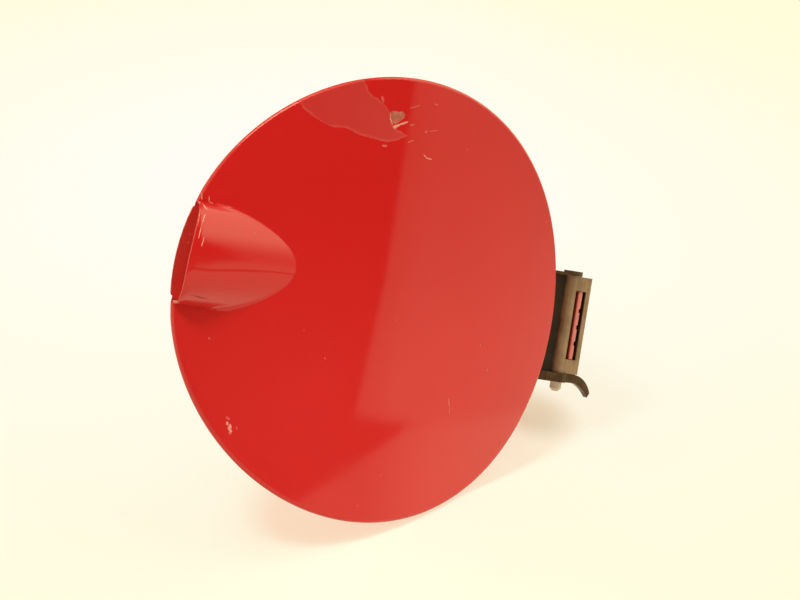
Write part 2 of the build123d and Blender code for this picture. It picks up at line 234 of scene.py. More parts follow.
def skinMaterial():
    p = skinPaint
    made, tree, shader, place = newMaterial("clearCoatedRed")
    cloud = noise(tree, place, p["cloudScale"], 3.0)
    body = mixColor(tree, ramp(tree, cloud, 0.3, 0.7), p["deepRed"], p["red"])
    raggedScale, raggedWidth = p["ragged"]
    ragged = noise(tree, place, raggedScale, 4.0, 0.6)
    ragged = mathNode(tree, "MULTIPLY_ADD", ragged, raggedWidth, -raggedWidth / 2)
    peelGap, chipGap = (addNode(tree, "ShaderNodeAttribute", attribute_name=name).outputs["Fac"]
                        for name in ("peelGap", "chipGap"))
    peelGap = mathNode(tree, "ADD", peelGap, ragged)
    peeled = ramp(tree, peelGap, p["peelSoft"], -p["peelSoft"])
    # painted highlight in a band along the peel's edge, patchy along its length
    bandMiddle, bandFrom, bandFull = p["highlightBand"]
    fromBand = mathNode(tree, "ABSOLUTE", mathNode(tree, "ADD", peelGap, bandMiddle))
    peelHighlight = ramp(tree, fromBand, bandFrom, bandFull)
    uneven = ramp(tree, noise(tree, place, p["highlightPatches"], 3.0), 0.42, 0.62)
    chipGap = mathNode(tree, "ADD", chipGap, mathNode(tree, "MULTIPLY", ragged, p["chipRagged"]))
    chipped = ramp(tree, chipGap, p["chipSoft"], -p["chipSoft"])

    color = mixColor(tree, peeled, body, p["bareRed"])
    color = mixColor(tree, product(tree, peelHighlight, uneven, p["highlightAmount"]), color, p["edge"])
    patches = ramp(tree, noise(tree, place, p["primerScale"], 3.0), 0.4, 0.6)
    color = mixColor(tree, chipped, color, mixColor(tree, patches, p["primer"], p["primerShade"]))
    dust = specks(tree, place, *p["dustSpecks"])
    color = mixColor(tree, product(tree, dust, p["dustAmount"]), color, p["dust"])
    tree.links.new(color, shader.inputs["Base Color"])

    dull = mathNode(tree, "MAXIMUM", peeled, chipped)
    haze = ramp(tree, noise(tree, place, p["hazeScale"], 4.0), 0.35, 0.75, 0.0, p["haze"])
    gloss = mathNode(tree, "ADD", ramp(tree, dull, 0, 1, p["gloss"], p["bareGloss"]), haze)
    tree.links.new(gloss, shader.inputs["Roughness"])
    shader.inputs["IOR"].default_value = 1.5

    rippleScale, rippleHeight = p["orangePeel"]
    ripple = mathNode(tree, "MULTIPLY", noise(tree, place, rippleScale, 2.0), rippleHeight)
    addBump(tree, shader, mathNode(tree, "MULTIPLY_ADD", dull, -p["coat"], ripple))
    return made


# the arm's tongue, which stands in the block's window, measured from the pin
# paleAndHighlightDepth sets how far back the tongue's pale front and its painted highlight reach
tongue = {"turn": 12.0, "side": 3.1 * mm, "front": -1.4 * mm, "paleAndHighlightDepth": 2.2 * mm}
tongueTurn = math.radians(tongue["turn"])
alongTongue = Vector((math.sin(tongueTurn), math.cos(tongueTurn), 0))
acrossTongue = Vector((math.cos(tongueTurn), -math.sin(tongueTurn), 0))
tongueEdge = pinPoint + acrossTongue * tongue["side"] + alongTongue * tongue["front"]

# thinner paint on the panel and the arm behind the skin
backPaint = {
    "red": (0.74, 0.026, 0.021, 1),
    "dryRed": (0.68, 0.030, 0.024, 1),  # overspray where the gun did not reach
    "dryScale": 28.0,
    "gloss": (0.16, 0.34),
    "grain": (420.0, 0.006 * mm, 3.0),
    "dust": (0.62, 0.46, 0.36, 1),
    "dustSpecks": (420.0, 0.22),
    "dustAmount": 0.35,
    # pale pink of the tongue's front: thin paint on the sheared edge and a painted highlight together
    "edge": (0.86, 0.32, 0.27, 1),
    "highlightSpan": (0.0, 0.9 * mm, 0.35, 1.0),  # painted highlight: paler from one side of the tongue to the other, as its lit side face would look
}


def backMaterial(name, shearedEdgeHighlight=False):
    p = backPaint
    made, tree, shader, place = newMaterial(name)
    dry = ramp(tree, noise(tree, place, p["dryScale"], 4.0, 0.6), 0.4, 0.65)
    color = mixColor(tree, dry, p["red"], p["dryRed"])
    if shearedEdgeHighlight:  # the tongue's front: pale where the paint is thin on the sheared edge, and a painted highlight that reaches back over its shaded side face
        reach, across = measured(tree, place, tongueEdge, (alongTongue, acrossTongue))
        pale = ramp(tree, reach, tongue["paleAndHighlightDepth"], tongue["paleAndHighlightDepth"] * 0.3)
        pale = mathNode(tree, "MULTIPLY", pale, ramp(tree, across, *p["highlightSpan"]))
        color = mixColor(tree, pale, color, p["edge"])
    dust = specks(tree, place, *p["dustSpecks"])
    color = mixColor(tree, product(tree, dust, p["dustAmount"]), color, p["dust"])
    tree.links.new(color, shader.inputs["Base Color"])
    tree.links.new(ramp(tree, dry, 0, 1, *p["gloss"]), shader.inputs["Roughness"])
    addGrain(tree, shader, place, *p["grain"])
    return made


# moulded hinge plastic, warm and worn with a satin skin
hingePlastic = {
    "block": ((0.430, 0.278, 0.160, 1), (0.300, 0.186, 0.100, 1)),
    "bracket": ((0.150, 0.084, 0.040, 1), (0.085, 0.044, 0.020, 1)),
    "clips": ((0.030, 0.026, 0.022, 1), (0.018, 0.016, 0.014, 1)),
    "cloudScale": 130.0,
    "streak": 0.35,
    "streakStretch": (1500.0, 1500.0, 60.0),  # fine across, long upwards
    "gloss": (0.34, 0.52),
    "grain": (2600.0, 0.012 * mm),
    "dust": (0.46, 0.33, 0.21, 1),
    "dustSpecks": (900.0, 0.25),
    "smearScale": 260.0,
    "dustAmount": 0.22,
    "postShade": 0.22,  # painted shade: the post sits back in shadow behind the door's edge and is darkened to hardly any colour
    "postShadeEdge": (-3.4 * mm, -2.7 * mm),  # from the pin
    "postShine": 0.18,
    "windowShade": 0.14,  # painted shade inside the block's window, where the tongue's slot lies in shadow; placed from the pin
    "windowShadeReach": (-1.9 * mm, -1.3 * mm),
    "windowShadeAcross": (1.3 * mm, 6.2 * mm),
    "windowShadeHalfHeight": 14.1 * mm,
}


def darken(tree, color, mask, level):
    # the colour falls to this share of itself where the mask is full
    keep = mathNode(tree, "SUBTRACT", 1.0, mathNode(tree, "MULTIPLY", mask, 1 - level))
    return vectorNode(tree, "SCALE", color, keep)


def plasticMaterial(name, shades, shadedPost=False, shadedWindow=False):
    p = hingePlastic
    light, dark = shades
    made, tree, shader, place = newMaterial(name)
    cloud = noise(tree, place, p["cloudScale"], 4.0, 0.6)
    drawn = noise(tree, vectorNode(tree, "MULTIPLY", place, p["streakStretch"]), 1.0, 3.0)
    cloud = addNode(tree, "ShaderNodeMix", {0: p["streak"], 2: cloud, 3: drawn}).outputs[0]
    color = mixColor(tree, ramp(tree, cloud, 0.38, 0.62), dark, light)
    dust = specks(tree, place, *p["dustSpecks"])
    smear = ramp(tree, noise(tree, place, p["smearScale"], 5.0, 0.7), 0.55, 0.75)
    dust = mathNode(tree, "MAXIMUM", dust, smear)
    color = mixColor(tree, product(tree, dust, p["dustAmount"]), color, p["dust"])
    # painted shade on the post, which lies in the shadow of the door's edge and the barrel
    if shadedPost:
        part = addNode(tree, "ShaderNodeSeparateXYZ", {0: place}).outputs
        edges = [pinPoint.x + edge for edge in p["postShadeEdge"]]
        blockLow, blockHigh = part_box("hinge_block")
        post = product(tree, ramp(tree, part["X"], *edges, 1.0, 0.0),
                       mathNode(tree, "GREATER_THAN", part["Z"], blockLow.z),
                       mathNode(tree, "LESS_THAN", part["Z"], blockHigh.z))
        color = darken(tree, color, post, p["postShade"])
        shader.inputs["Specular IOR Level"].default_value = p["postShine"]
    # painted shade inside the block's window, on the walls beside the tongue
    if shadedWindow:
        reach, across, rise = measured(tree, place, pinPoint, (alongTongue, acrossTongue, (0, 0, 1)))
        inside = product(tree, ramp(tree, reach, *p["windowShadeReach"]),
                         mathNode(tree, "LESS_THAN", mathNode(tree, "ABSOLUTE", rise), p["windowShadeHalfHeight"]),
                         mathNode(tree, "GREATER_THAN", across, p["windowShadeAcross"][0]),
                         mathNode(tree, "LESS_THAN", across, p["windowShadeAcross"][1]))
        color = darken(tree, color, inside, p["windowShade"])
    tree.links.new(color, shader.inputs["Base Color"])
    tree.links.new(ramp(tree, cloud, 0.3, 0.7, *p["gloss"]), shader.inputs["Roughness"])
    addGrain(tree, shader, place, *p["grain"])
    return made


# finishes of the small parts: light and dark colour, scale, roughness, metal and grain in mm
smallFinishes = {
    "pinSteel": ((0.52, 0.50, 0.47, 1), (0.40, 0.38, 0.35, 1), 300.0, (0.28, 0.42), 1.0),
    "capNylon": ((0.74, 0.60, 0.46, 1), (0.62, 0.49, 0.36, 1), 240.0, (0.40, 0.55)),
    "stopRubber": ((0.026, 0.024, 0.022, 1), (0.016, 0.015, 0.014, 1), 400.0, (0.6, 0.8), 0.0, 0.01),
}


def simpleMaterial(name, light, dark, scale, roughness, metallic=0.0, grain=0.004):
    made, tree, shader, place = newMaterial(name)
    cloud = noise(tree, place, scale, 4.0, 0.6)
    tree.links.new(mixColor(tree, ramp(tree, cloud, 0.3, 0.7), dark, light), shader.inputs["Base Color"])
    tree.links.new(ramp(tree, cloud, 0.3, 0.7, *roughness), shader.inputs["Roughness"])
    shader.inputs["Metallic"].default_value = metallic
    addGrain(tree, shader, place, scale * 8, grain * mm)
    return made


# outer skin: crowned sheet with the raised finger grip, and the hem folded behind its edge
skinSheet = {
    "crownRadius": 242 * mm,
    "thickness": 0.8 * mm,
    "gripHalfHeight": 17.7 * mm,
    "gripHalfDepth": 9.1 * mm,
    "gripCrest": 2.25 * mm,
    "gripLean": math.radians(1.5),
    "gripHeight": 7.0 * mm,  # above the door's middle
    "gripFlat": (0.78, -72 * mm, -46 * mm),  # how far its lower side is flattened, and where that ends
    "flatReach": 14 * mm,
    "lipRoll": 0.32 * mm,  # the lip turns back over its last stretch
    "lipRun": 2.4 * mm,
    "gripBlend": 3.0 * mm,
    "lipRound": 0.3 * mm,
    "foldRound": 1.2 * mm,
    "hemDepth": 2.4 * mm,
    "hemWidth": 8.0 * mm,
    "hemGap": 0.05 * mm,
    "gripSide": (136.0, 214.0),  # degrees from the hinge side, where the mesh is finest
    "hemStops": (160.6, 189.4),  # the hem is left out between these
    "hemFade": 4.0,
    "hemRunOut": 4.5,
    "hemFold": 0.8 * mm,
    "hemRoot": 0.95 * mm,
    "hemSheet": 0.7 * mm,
    "hemLead": [(-0.9 * mm, 0.95 * mm), (-0.25 * mm, 1.0 * mm), (0.0, 1.2 * mm)],  # where the fold leaves the edge
    "rimSteps": 6,
    "lipSteps": 3,
    "sharpAngle": 50.0,
    "fineSectors": 280,
    "plainSectors": 216,
    "innerRings": 20,
    "outerRings": 118,
    "fineFrom": 36 * mm,
    "backRings": 14,
}


def sheetDepth(x, z, inset):
    s = skinSheet
    crownRoot = np.sqrt((s["crownRadius"] - inset) ** 2 - x ** 2)
    crownDepth = s["crownRadius"] - crownRoot
    halfHeight, halfDepth = s["gripHalfHeight"] - inset, s["gripHalfDepth"] - inset
    rise = (z - s["gripHeight"]) / halfHeight
    inTunnel = (np.abs(rise) < 0.985) & (x < 0)
    gripRoot = np.sqrt(np.where(inTunnel, 1 - rise ** 2, 1.0))
    lean = s["gripLean"]
    gripDepth = s["gripCrest"] + s["gripHalfDepth"]
    gripDepth = gripDepth + (math.sin(lean) * (x + doorRadius) - halfDepth * gripRoot) / math.cos(lean)
    flat, flatFrom, flatTo = s["gripFlat"]
    below = np.minimum(z - s["gripHeight"], 0)
    flat = flat * np.clip((flatTo - x) / (flatTo - flatFrom), 0, 1) * halfDepth / (2 * halfHeight ** 2)
    gripDepth = gripDepth - flat * below ** 2 * np.exp(-(below / s["flatReach"]) ** 2)
    rolled = np.clip((np.hypot(x, z) - doorRadius + s["lipRun"]) / s["lipRun"], 0, 1) ** 2
    gripDepth = gripDepth + s["lipRoll"] * rolled * np.clip(gripRoot * 3 - 0.6, 0, 1)
    gripDepth = np.where(inTunnel, gripDepth, 1.0)
    steepness = (x / crownRoot) ** 2 + (halfDepth / halfHeight * rise / gripRoot) ** 2
    width = np.maximum((s["gripBlend"] + inset) * steepness / (2 + 0.8 * steepness), 1e-6)
    share = np.clip(width - np.abs(crownDepth - gripDepth), 0, None)
    return np.minimum(crownDepth, gripDepth) - share ** 2 / (4 * width)


def outlineGap(points, outline):
    corners = np.array(outline) * mm
    nearest = np.full(len(points), 1.0)
    inside = np.zeros(len(points), bool)
    for start, end in zip(corners, np.roll(corners, -1, axis=0)):
        run = end - start
        along = np.clip(((points - start) @ run) / (run @ run), 0, 1)
        nearest = np.minimum(nearest, np.linalg.norm(points - start - along[:, None] * run, axis=1))
        crosses = (start[1] > points[:, 1]) != (end[1] > points[:, 1])
        span = end[1] - start[1] if end[1] != start[1] else 1.0
        inside ^= crosses & (points[:, 0] < start[0] + (points[:, 1] - start[1]) * run[0] / span)
    return np.where(inside, -nearest, nearest)


def smoothStep(value, low, high):
    t = np.clip((value - low) / (high - low), 0, 1)
    return t * t * (3 - 2 * t)


def closedGrid(rows, columns, wrap, offset=0):
    # quads between rows of points; wrap joins the last column to the first
    made = []
    for row in range(rows - 1):
        for column in range(columns if wrap else columns - 1):
            after = (column + 1) % columns
            made.append((offset + row * columns + column, offset + row * columns + after,
                         offset + (row + 1) * columns + after, offset + (row + 1) * columns + column))
    return made


def buildSkin():
    s = skinSheet
    fineStart, fineEnd = s["gripSide"]
    fine = np.linspace(fineStart, fineEnd, s["fineSectors"], endpoint=False)
    plain = np.linspace(fineEnd, fineStart + 360, s["plainSectors"], endpoint=False)
    degrees = np.concatenate([fine, plain])
    angle = np.radians(degrees)
    turn = degrees % 360
    middle = sum(s["hemStops"]) / 2
    half = (s["hemStops"][1] - s["hemStops"][0]) / 2
    hemmed = smoothStep(np.abs(turn - middle), half - s["hemFade"], half)
    rounding = s["lipRound"] + (s["foldRound"] - s["lipRound"]) * hemmed
    cosine, sine = np.cos(angle), np.sin(angle)
    rows = []

    def addRow(radius, extra, inset=0.0):
        x, z = radius * cosine, radius * sine
        rows.append(np.stack([x, sheetDepth(x, z, inset) + extra, z], axis=1))

    rimStart = doorRadius - rounding
    shares = np.concatenate([
        np.linspace(0.025, s["fineFrom"] / doorRadius, s["innerRings"], endpoint=False),
        np.linspace(s["fineFrom"] / doorRadius, 1, s["outerRings"]),
    ])
    for share in shares:
        addRow(rimStart * share, 0.0)
    for step in np.linspace(0, math.pi / 2, s["rimSteps"] + 1)[1:]:
        addRow(rimStart + rounding * math.sin(step), rounding * (1 - math.cos(step)))
    wallEnd = np.maximum(rounding + 0.1 * mm, s["thickness"] - s["lipRound"])
    addRow(np.full_like(angle, doorRadius), wallEnd)
    for step in np.linspace(0, math.pi / 2, s["lipSteps"] + 1)[1:]:
        radius = doorRadius - s["lipRound"] * (1 - math.cos(step))
        addRow(np.full_like(angle, radius), wallEnd + (s["thickness"] - wallEnd) * math.sin(step) * 0.98)
    for share in np.linspace(1, 0.04, s["backRings"]):
        addRow(np.full_like(angle, (doorRadius - 1.5 * s["lipRound"]) * share), 0.0, s["thickness"])
    count = len(angle)
    points = np.concatenate(rows)
    faces = closedGrid(len(rows), count, True)
    frontPole, backPole = len(points), len(points) + 1
    points = np.concatenate([points, [[0, 0, 0], [0, s["thickness"], 0]]])
    lastRow = (len(rows) - 1) * count
    for column in range(count):
        after = (column + 1) % count
        faces.append((frontPole, after, column))
        faces.append((backPole, lastRow + column, lastRow + after))

    # hem: a flat strip folded behind the edge, open at the grip
    keep = np.flatnonzero(hemmed > 0.5)
    order = keep[np.argsort((degrees[keep] - s["hemStops"][1]) % 360)]
    hemAngle = np.radians(degrees[order])
    back, gap = s["hemDepth"], s["thickness"] + 2 * s["hemGap"] + s["hemSheet"]
    fold, root = s["hemFold"], s["hemRoot"]
    fromEnd = half - 0.5 * s["hemFade"]
    full = 0.05 + 0.95 * smoothStep(np.abs(turn[order] - middle), fromEnd, fromEnd + s["hemRunOut"])
    profile = list(s["hemLead"])
    profile += [(fold * (math.cos(step) - 1), back - fold + fold * math.sin(step))
                for step in np.linspace(0.1, math.pi / 2, 6)]
    profile += [(-s["hemWidth"] + 0.3 * mm, back), (-s["hemWidth"], back - 0.25 * mm), (-s["hemWidth"], gap),
                (-1.2 * mm, gap)]
    hemRows = []
    for reach, depth in profile:
        radius = doorRadius + reach
        x, z = radius * np.cos(hemAngle), radius * np.sin(hemAngle)
        crown = s["crownRadius"] - np.sqrt(s["crownRadius"] ** 2 - x ** 2)
        hemRows.append(np.stack([x, crown + root + (depth - root) * full, z], axis=1))
    offset = len(points)
    columns = len(hemAngle)
    points = np.concatenate([points] + hemRows)
    faces += closedGrid(len(profile), columns, False, offset)
    last = offset + (len(profile) - 1) * columns
    for column in range(columns - 1):
        faces.append((last + column, last + column + 1, offset + column + 1, offset + column))
    faces.append([offset + row * columns for row in range(len(profile))])
    faces.append([offset + row * columns + columns - 1 for row in reversed(range(len(profile)))])

    mesh = bpy.data.meshes.new("skinSheet")
    mesh.from_pydata(points + np.array(doorMiddle), [], faces)
    flat = points[:, [0, 2]]
    front = np.arange(len(points)) < (len(shares) + s["rimSteps"]) * count
    for name, outline in (("peelGap", skinPaint["peelOutline"]), ("chipGap", skinPaint["chipOutline"])):
        gapValues = np.where(front, outlineGap(flat, outline), 0.02)
        mesh.attributes.new(name, "FLOAT", "POINT").data.foreach_set("value", gapValues.astype(np.float32))
    work = bmesh.new()
    work.from_mesh(mesh)
    bmesh.ops.recalc_face_normals(work, faces=work.faces)
    work.to_mesh(mesh)
    work.free()
    mesh.shade_smooth()
    mesh.set_sharp_from_angle(angle=math.radians(s["sharpAngle"]))
    return addObject("skinSheet", mesh)


# flakes of lifted clear coat, and scuffs: each row is a stroke's two ends and half its width,
# in mm from the door's middle
paintFlakes = {
    "bright": (0.86, 0.35, 0.27, 1),
    "faint": (0.74, 0.115, 0.09, 1),
    "dark": (0.36, 0.020, 0.016, 1),
    "thickness": 0.05,
    "ragged": 0.10 * mm,
    "sides": 12,
    "seed": 7,
    "chips": [
        ((-75.2, 27.6), (-74.7, 25.2), 0.12), ((-75.3, 23.6), (-74.6, 22.2), 0.26),
        ((-72.6, 26.8), (-72.4, 25.2), 0.12), ((-72.2, 25.0), (-69.6, 24.0), 0.20),
        ((-76.6, 17.6), (-75.3, 20.6), 0.18), ((-77.6, 12.4), (-76.6, 17.6), 0.16),
        ((-76.3, 9.9), (-75.6, 13.0), 0.14), ((-12.4, 61.3), (-10.1, 62.4), 0.42),
        ((-10.4, 62.5), (-7.4, 63.9), 0.34), ((-11.9, 61.1), (-11.2, 61.7), 0.42),
        ((-13.0, 62.0), (-13.9, 63.6), 0.17), ((-14.1, 63.4), (-14.5, 65.9), 0.13),
        ((1.4, 53.7), (2.7, 52.9), 0.18), ((2.7, 52.9), (4.8, 52.7), 0.22), ((-55.6, -48.5), (-55.4, -49.0), 0.42),
        ((-54.6, -49.2), (-54.2, -50.1), 0.40), ((-54.8, -50.2), (-54.3, -50.8), 0.52),
        ((-54.2, -51.0), (-53.8, -51.4), 0.36),
    ],
    "faintChips": [
        ((-18.6, 70.6), (-17.9, 69.4), 0.42), ((-5.9, 63.1), (-4.6, 63.4), 0.32),
        ((-15.4, 54.1), (-14.0, 54.2), 0.40), ((2.8, 72.2), (3.6, 72.1), 0.34), ((-7.0, 69.0), (-3.5, 70.5), 0.16),
        ((0.6, 61.8), (1.3, 62.2), 0.30), ((2.4, 62.4), (5.4, 63.2), 0.16), ((-5.7, 57.0), (-3.6, 58.1), 0.20),
        ((-56.0, -46.7), (-55.3, -47.1), 0.42), ((-54.4, -51.8), (-54.0, -52.1), 0.36),
        ((-52.2, -49.6), (-52.0, -50.4), 0.22), ((-65.9, -20.5), (-65.5, -20.9), 0.2),
        ((-25.0, -22.3), (-24.6, -22.6), 0.2), ((29.2, -32.5), (30.2, -35.4), 0.32),
        ((30.2, -35.4), (30.6, -38.2), 0.14), ((40.3, -11.2), (40.6, -11.7), 0.2),
        ((45.9, -20.3), (46.2, -20.8), 0.2), ((-76.9, 18.6), (-76.3, 21.4), 0.10),
    ],
    "scuffs": [((-76.4, -6.6), (-73.4, -6.9), 0.16), ((-73.8, -7.0), (-70.6, -7.3), 0.24)],
}


def nodeTree(name, sockets):
    tree = bpy.data.node_groups.new(name, "GeometryNodeTree")
    tree.interface.new_socket("Geometry", in_out="INPUT", socket_type="NodeSocketGeometry")
    tree.interface.new_socket("Geometry", in_out="OUTPUT", socket_type="NodeSocketGeometry")
    for label, kind in sockets:
        tree.interface.new_socket(label, in_out="INPUT", socket_type=kind)
    return tree, tree.nodes.new("NodeGroupInput").outputs, tree.nodes.new("NodeGroupOutput").inputs


def runTree(piece, tree, values):
    # sets the modifier's inputs, then keeps its result as a plain mesh
    change = piece.modifiers.new(tree.name, "NODES")
    change.node_group = tree
    for item in tree.interface.items_tree:
        if item.in_out == "INPUT" and item.name in values:
            change[item.identifier] = values[item.name]
    keepResult(piece)


def flakeTree():
    sockets = [("Sides", "NodeSocketInt"), ("Ragged", "NodeSocketFloat"), ("Seed", "NodeSocketInt"),
               ("Material", "NodeSocketMaterial")]
    tree, given, out = nodeTree("flakesOnPoints", sockets)
    disc = addNode(tree, "GeometryNodeMeshCylinder", {"Vertices": given["Sides"], "Radius": 1.0, "Depth": 1.0})
    turn = addNode(tree, "GeometryNodeInputNamedAttribute", {"Name": "turn"}, data_type="QUATERNION")
    spread = addNode(tree, "GeometryNodeInputNamedAttribute", {"Name": "spread"}, data_type="FLOAT_VECTOR")
    placed = addNode(tree, "GeometryNodeInstanceOnPoints",
                     {"Points": given["Geometry"], "Instance": disc.outputs["Mesh"],
                      "Rotation": turn.outputs["Attribute"], "Scale": spread.outputs["Attribute"]})
    real = addNode(tree, "GeometryNodeRealizeInstances", {"Geometry": placed.outputs["Instances"]})
    shift = addNode(tree, "FunctionNodeRandomValue", {0: (-1, 0, -1), 1: (1, 0, 1), "Seed": given["Seed"]},
                    data_type="FLOAT_VECTOR")
    small = vectorNode(tree, "SCALE", shift.outputs[0], given["Ragged"])
    moved = addNode(tree, "GeometryNodeSetPosition", {"Geometry": real.outputs[0], "Offset": small})
    shown = addNode(tree, "GeometryNodeSetMaterial", {"Geometry": moved.outputs[0], "Material": given["Material"]})
    tree.links.new(shown.outputs[0], out["Geometry"])
    return tree


def surfacePoint(x, z):
    # place and outward normal on the sheet's face
    step = 0.05 * mm
    depth = [float(sheetDepth(np.float64(x + a), np.float64(z + b), 0.0)) for a, b in ((0, 0), (step, 0), (0, step))]
    normal = Vector(((depth[1] - depth[0]) / step, -1, (depth[2] - depth[0]) / step)).normalized()
    return doorMiddle + Vector((x, depth[0], z)), normal


def scatterFlakes(name, tree, rows, material):
    f = paintFlakes
    places, turns, spreads = [], [], []
    for (x0, z0), (x1, z1), halfWidth in rows:
        start, end = surfacePoint(x0 * mm, z0 * mm)[0], surfacePoint(x1 * mm, z1 * mm)[0]
        middle, normal = surfacePoint((x0 + x1) / 2 * mm, (z0 + z1) / 2 * mm)
        run = end - start
        length = run.length
        along = (run - normal * run.dot(normal)).normalized()
        turns.append(Matrix((along, normal.cross(along), normal)).transposed().to_quaternion())
        spreads.append((length / 2 + halfWidth * mm, halfWidth * mm, f["thickness"] * mm))
        places.append(middle)
    mesh = bpy.data.meshes.new(name)
    mesh.from_pydata(places, [], [])
    for label, kind, field, values in (("turn", "QUATERNION", "value", turns),
                                       ("spread", "FLOAT_VECTOR", "vector", spreads)):
        flat = [part for row in values for part in row]
        mesh.attributes.new(label, kind, "POINT").data.foreach_set(field, flat)
    piece = addObject(name, mesh)
    runTree(piece, tree, {"Sides": f["sides"], "Ragged": f["ragged"], "Seed": f["seed"], "Material": material})
    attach(piece, "door")
    return piece


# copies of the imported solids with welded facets, softened edges and smooth shading
softEdges = {"weld": 2e-6, "flat": 0.4, "sharp": 34.0, "segments": 2}  # angles in degrees


def softCopy(node, name, rounding, nudge):
    e = softEdges
    mesh = frame["nodes"][node].data.copy()
    mesh.name = name
    work = bmesh.new()
    work.from_mesh(mesh)
    bmesh.ops.remove_doubles(work, verts=work.verts, dist=e["weld"])
    bmesh.ops.dissolve_limit(work, angle_limit=math.radians(e["flat"]), verts=work.verts, edges=work.edges)
    for vertex in work.verts if nudge else ():
        vertex.co += nudge(vertex.co)
    work.to_mesh(mesh)
    work.free()
    mesh.shade_smooth()
    sharp = math.radians(e["sharp"])
    mesh.set_sharp_from_angle(angle=sharp)
    piece = addObject(name, mesh)
    if rounding:
        soft = piece.modifiers.new("softEdges", "BEVEL")
        soft.width = rounding
        soft.segments = e["segments"]
        soft.limit_method = "ANGLE"
        soft.angle_limit = sharp
        soft.use_clamp_overlap = True
    even = piece.modifiers.new("evenShade", "WEIGHTED_NORMAL")
    even.keep_sharp = True
    keepResult(piece)
    return piece


def finishPiece(piece, material, body, node):
    piece.data.materials.clear()
    piece.data.materials.append(material)
    for polygon in piece.data.polygons:
        polygon.material_index = 0
    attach(piece, body)
    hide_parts(node)


finishPiece(buildSkin(), skinMaterial(), "door", "outer_skin")
print("outer skin built")

flakes = flakeTree()
for name, key, shade in (("paintFlakes", "chips", "bright"), ("faintFlakes", "faintChips", "faint"),
                         ("darkScuffs", "scuffs", "dark")):
    light = paintFlakes[shade]
    darker = tuple(0.85 * part for part in light[:3]) + (1,)
    scatterFlakes(name, flakes, paintFlakes[key], simpleMaterial(name, light, darker, 900.0, (0.35, 0.5)))
print("paint flakes placed")

# small moves that close slits of light at the hinge
slits = {
    "corner": (-2.95, 0.2),  # in mm from the pin
    "cornerReach": 0.03 * mm,
    "toBarrel": (0.3 * mm, 0, 0),
    "topReach": 0.02 * mm,
    "toEar": (0, 0, 0.1 * mm),
}


def postCorner(place):
    # the post's front corner comes up to the barrel
    away = (place.xy - pinPoint.xy - Vector(slits["corner"]) * mm).length
    return Vector(slits["toBarrel"] if away < slits["cornerReach"] else (0, 0, 0))


def blockTop(place):
    # and the block's top up to the ear
    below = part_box("hinge_block")[1].z - place.z
    return Vector(slits["toEar"] if below < slits["topReach"] else (0, 0, 0))


finishes = {name: simpleMaterial(name, *values) for name, values in smallFinishes.items()}
finishes["panelRed"] = backMaterial("panelRed")
finishes["armRed"] = backMaterial("armRed", shearedEdgeHighlight=True)
finishes["blockPlastic"] = plasticMaterial("blockPlastic", hingePlastic["block"], shadedWindow=True)
finishes["bracketPlastic"] = plasticMaterial("bracketPlastic", hingePlastic["bracket"], shadedPost=True)
finishes["clipPlastic"] = plasticMaterial("clipPlastic", hingePlastic["clips"])

# each solid's piece, finish, body, slot, rounding of its edges in mm, and what is moved on it
dressing = {
    "inner_panel": ("innerPanel", "panelRed", "door", "red_paint", 0.0, None),
    "hinge_arm": ("gooseneckArm", "armRed", "door", "red_paint", 0.25, None),
    "hinge_block": ("hingeBlock", "blockPlastic", "door", "black_plastic", 0.12, blockTop),
    "hinge_bracket": ("hingeBracket", "bracketPlastic", "bracket", "black_plastic", 0.08, postCorner),
    "hinge_pin": ("hingePin", "pinSteel", "bracket", "pin_steel", 0.0, None),
    "pin_cap": ("pinCap", "capNylon", "bracket", "nylon", 0.0, None),
    "lock_catch": ("lockCatch", "clipPlastic", "door", "black_plastic", 0.25, None),
    "cap_holder": ("capHolder", "clipPlastic", "door", "black_plastic", 0.25, None),
    "upper_buffer": ("upperBuffer", "stopRubber", "door", "buffer_rubber", 0.0, None),
    "lower_buffer": ("lowerBuffer", "stopRubber", "door", "buffer_rubber", 0.0, None),
}
for node, (name, finish, body, slot, rounding, nudge) in dressing.items():
    finishPiece(softCopy(node, name, rounding * mm, nudge), finishes[finish], body, node)
print("hinge and inner pieces dressed")

# floor: the door lies back on its lower edge and its hinge; the floor falls away where the open door swings
ground = {
    "normal": Vector((-0.354, -0.354, 0.866)).normalized(),
    "clearance": 0.2 * mm,
    "half": 3.0,
    "cells": 140,
    "crowding": 2.4,  # the cells are smallest under the door
    "tries": 6,  # angles at which the swing is measured against it
    "sagWay": Vector((0.849, -0.510, 0.139)),
    "sagFrom": 12 * mm,
    "sagTo": 104 * mm,
    "sag": 21.2 * mm,
    "color": (0.62, 0.60, 0.52, 1),
    "roughness": 0.9,
    "shade": (0.10, 0.46, 0.42),  # how far the door's shadow can darken it
    "level": (1.0, 0.96, 0.78),  # light that falls on it
    "foot": (30, 2, -74),  # where the rim stands, in mm from the door's middle
    "nearFade": (0.055, 0.095, 0.5),  # the shadow is full near the foot and half that beyond
    "farFade": (0.10, 0.26),
    "hingeFoot": (97, 38, -32),
    "hingeFade": (0.009, 0.026),
    "hingeShade": (0.60, 0.84, 0.74),
}
# painted light on the floor: its glow is whiter near a point behind the door and creamier farther off
backdrop = {
    "middle": (84, 257, 52),  # behind the door, in mm from its middle
    "near": (1.0, 0.985, 0.91, 1),
    "far": (1.0, 0.975, 0.70, 1),
    "reach": (0.06, 0.44),
}


def posedPoints(degrees):
    spin = Quaternion(Vector(swing["axis"]), math.radians(degrees))
    made = []
    for node in frame["nodes"].values():
        points = np.empty(len(node.data.vertices) * 3)
        node.data.vertices.foreach_get("co", points)
        points = points.reshape(-1, 3)
        if node["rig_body"] == swing["child"]:
            points = (points - np.array(pinPoint)) @ np.array(spin.to_matrix()).T + np.array(pinPoint)
        made.append(points)
    return np.concatenate(made)


def floorSag(points, foot):
    g = ground
    away = (points - foot) @ np.array(g["sagWay"])
    return g["sag"] * np.clip((away - g["sagFrom"]) / (g["sagTo"] - g["sagFrom"]), 0, 1)


